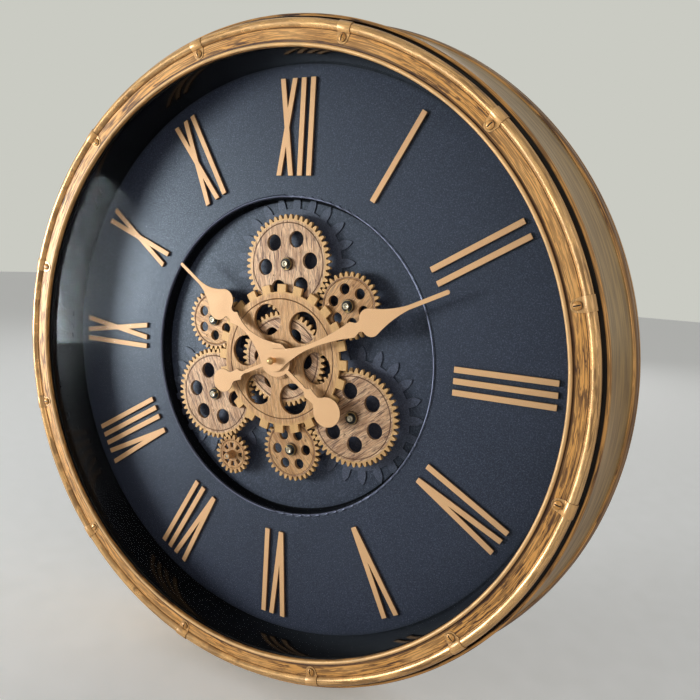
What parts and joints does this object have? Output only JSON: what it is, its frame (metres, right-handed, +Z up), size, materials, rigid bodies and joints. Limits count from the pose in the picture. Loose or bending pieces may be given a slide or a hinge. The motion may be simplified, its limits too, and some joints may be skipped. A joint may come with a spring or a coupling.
{
  "type": "round wall clock with turning gears",
  "caption": "Round drum wall clock with a gold bezel, raised Roman numerals and turning wood-grained gears in a recess behind two spade hands.",
  "frame": {"origin": "centre of the wall side, on the clock's axis", "axes": "-Y out of the dial towards the viewer, +Z up to the numeral XII, +X to the viewer's right"},
  "size_m": [0.5999, 0.0796, 0.6],
  "materials": {
    "gold_rim": "satin gold film with brown grain",
    "gold_bezel": "satin gold film with brown grain",
    "bead_brass": "satin gold film with brown grain",
    "clip_steel": "satin dark bronze",
    "screw_steel": "satin",
    "band_metal": "satin taupe",
    "glass": "clear",
    "gasket": "matte black",
    "black_wall": "gloss black",
    "dial_grey": "fine speckled charcoal",
    "copper": "satin copper",
    "post_steel": "polished",
    "clip_black": "blackened",
    "brass": "satin",
    "unit_plastic": "matte black",
    "cell": "satin",
    "zinc": "zinc plated",
    "hardboard": "pressed board",
    "gear_wood": "printed wood grain, satin",
    "front_gear_wood": "printed wood grain, satin"
  },
  "bodies": {
    "case": {"back_flange": "gold_rim", "side_band": "band_metal", "front_rim": "gold_rim", "bezel_ring": "gold_bezel", "bezel_bead": "bead_brass", "bead_clips": "clip_steel", "bezel_screws": "screw_steel", "glass_pane": "glass", "glass_gasket": "gasket", "inner_wall": "black_wall", "dial_plate": "dial_grey", "recess_pan": "dial_grey", "relief_gears": "dial_grey", "numeral_xii": "copper", "numeral_i": "copper", "numeral_ii": "copper", "numeral_iii": "copper", "numeral_iv": "copper", "numeral_v": "copper", "numeral_vi": "copper", "numeral_vii": "copper", "numeral_viii": "copper", "numeral_ix": "copper", "numeral_x": "copper", "numeral_xi": "copper", "gear_posts": "post_steel", "retaining_clips": "clip_black", "centre_sleeve": "brass", "neck_nut": "brass", "movement_neck": "unit_plastic", "movement_case": "unit_plastic", "movement_cover": "unit_plastic", "movement_battery": "cell", "drive_case": "unit_plastic", "drive_cover": "unit_plastic", "drive_battery": "cell", "dial_nuts": "zinc", "standoffs": "zinc", "standoff_screws": "zinc", "back_panel": "hardboard", "panel_screws": "zinc", "hanger_plate": "zinc", "hanger_screws": "zinc"},
    "centre_wheel": {"front_gear": "front_gear_wood", "centre_gear": "gear_wood"},
    "top_wheel": {"top_gear": "gear_wood"},
    "left_wheel": {"left_gear": "gear_wood"},
    "right_wheel": {"right_gear": "gear_wood"},
    "upper_right_wheel": {"upper_right_gear": "gear_wood"},
    "upper_left_wheel": {"upper_left_gear": "gear_wood"},
    "bottom_wheel": {"bottom_gear": "gear_wood"},
    "drive_wheel": {"drive_pinion": "gear_wood", "drive_shaft": "post_steel"},
    "hour_body": {"hour_hand": "copper", "hour_tube": "brass"},
    "minute_body": {"minute_hand": "copper", "minute_arbor": "post_steel", "hand_nut": "copper"},
    "knob_body": {"set_knob": "unit_plastic"}
  },
  "joints": [
    {"name": "centre_wheel_turn", "type": "hinge", "parent": "case", "child": "centre_wheel", "pos_m": [0, 0, 0], "axis": [0, 1, 0], "continuous": true},
    {"name": "top_wheel_turn", "type": "hinge", "parent": "case", "child": "top_wheel", "pos_m": [0, 0, 0.0864], "axis": [0, 1, 0], "continuous": true},
    {"name": "left_wheel_turn", "type": "hinge", "parent": "case", "child": "left_wheel", "pos_m": [-0.07482, 0, -0.0432], "axis": [0, 1, 0], "continuous": true},
    {"name": "right_wheel_turn", "type": "hinge", "parent": "case", "child": "right_wheel", "pos_m": [0.07482, 0, -0.0432], "axis": [0, 1, 0], "continuous": true},
    {"name": "upper_right_wheel_turn", "type": "hinge", "parent": "case", "child": "upper_right_wheel", "pos_m": [0.06426, 0, 0.05392], "axis": [0, 1, 0], "continuous": true},
    {"name": "upper_left_wheel_turn", "type": "hinge", "parent": "case", "child": "upper_left_wheel", "pos_m": [-0.07882, 0, 0.02869], "axis": [0, 1, 0], "continuous": true},
    {"name": "bottom_wheel_turn", "type": "hinge", "parent": "case", "child": "bottom_wheel", "pos_m": [0.01457, 0, -0.08261], "axis": [0, 1, 0], "continuous": true},
    {"name": "drive_wheel_turn", "type": "hinge", "parent": "case", "child": "drive_wheel", "pos_m": [-0.0519, 0, -0.09994], "axis": [0, 1, 0], "continuous": true},
    {"name": "minute_turn", "type": "hinge", "parent": "case", "child": "minute_body", "pos_m": [0, 0, 0], "axis": [0, 1, 0], "continuous": true},
    {"name": "hour_turn", "type": "hinge", "parent": "case", "child": "hour_body", "pos_m": [0, 0, 0], "axis": [0, 1, 0], "continuous": true},
    {"name": "knob_turn", "type": "hinge", "parent": "case", "child": "knob_body", "pos_m": [0.012, 0, 0.012], "axis": [0, 1, 0], "continuous": true}
  ],
  "couplings": [
    {"joint": "top_wheel_turn", "follows": "centre_wheel_turn", "ratio": -1},
    {"joint": "left_wheel_turn", "follows": "centre_wheel_turn", "ratio": -1},
    {"joint": "right_wheel_turn", "follows": "centre_wheel_turn", "ratio": -1},
    {"joint": "upper_right_wheel_turn", "follows": "centre_wheel_turn", "ratio": 1.5},
    {"joint": "upper_left_wheel_turn", "follows": "centre_wheel_turn", "ratio": 1.5},
    {"joint": "bottom_wheel_turn", "follows": "centre_wheel_turn", "ratio": 1.5},
    {"joint": "drive_wheel_turn", "follows": "centre_wheel_turn", "ratio": 2.4},
    {"joint": "hour_turn", "follows": "minute_turn", "ratio": 0.083333},
    {"joint": "knob_turn", "follows": "minute_turn", "ratio": -1}
  ]
}
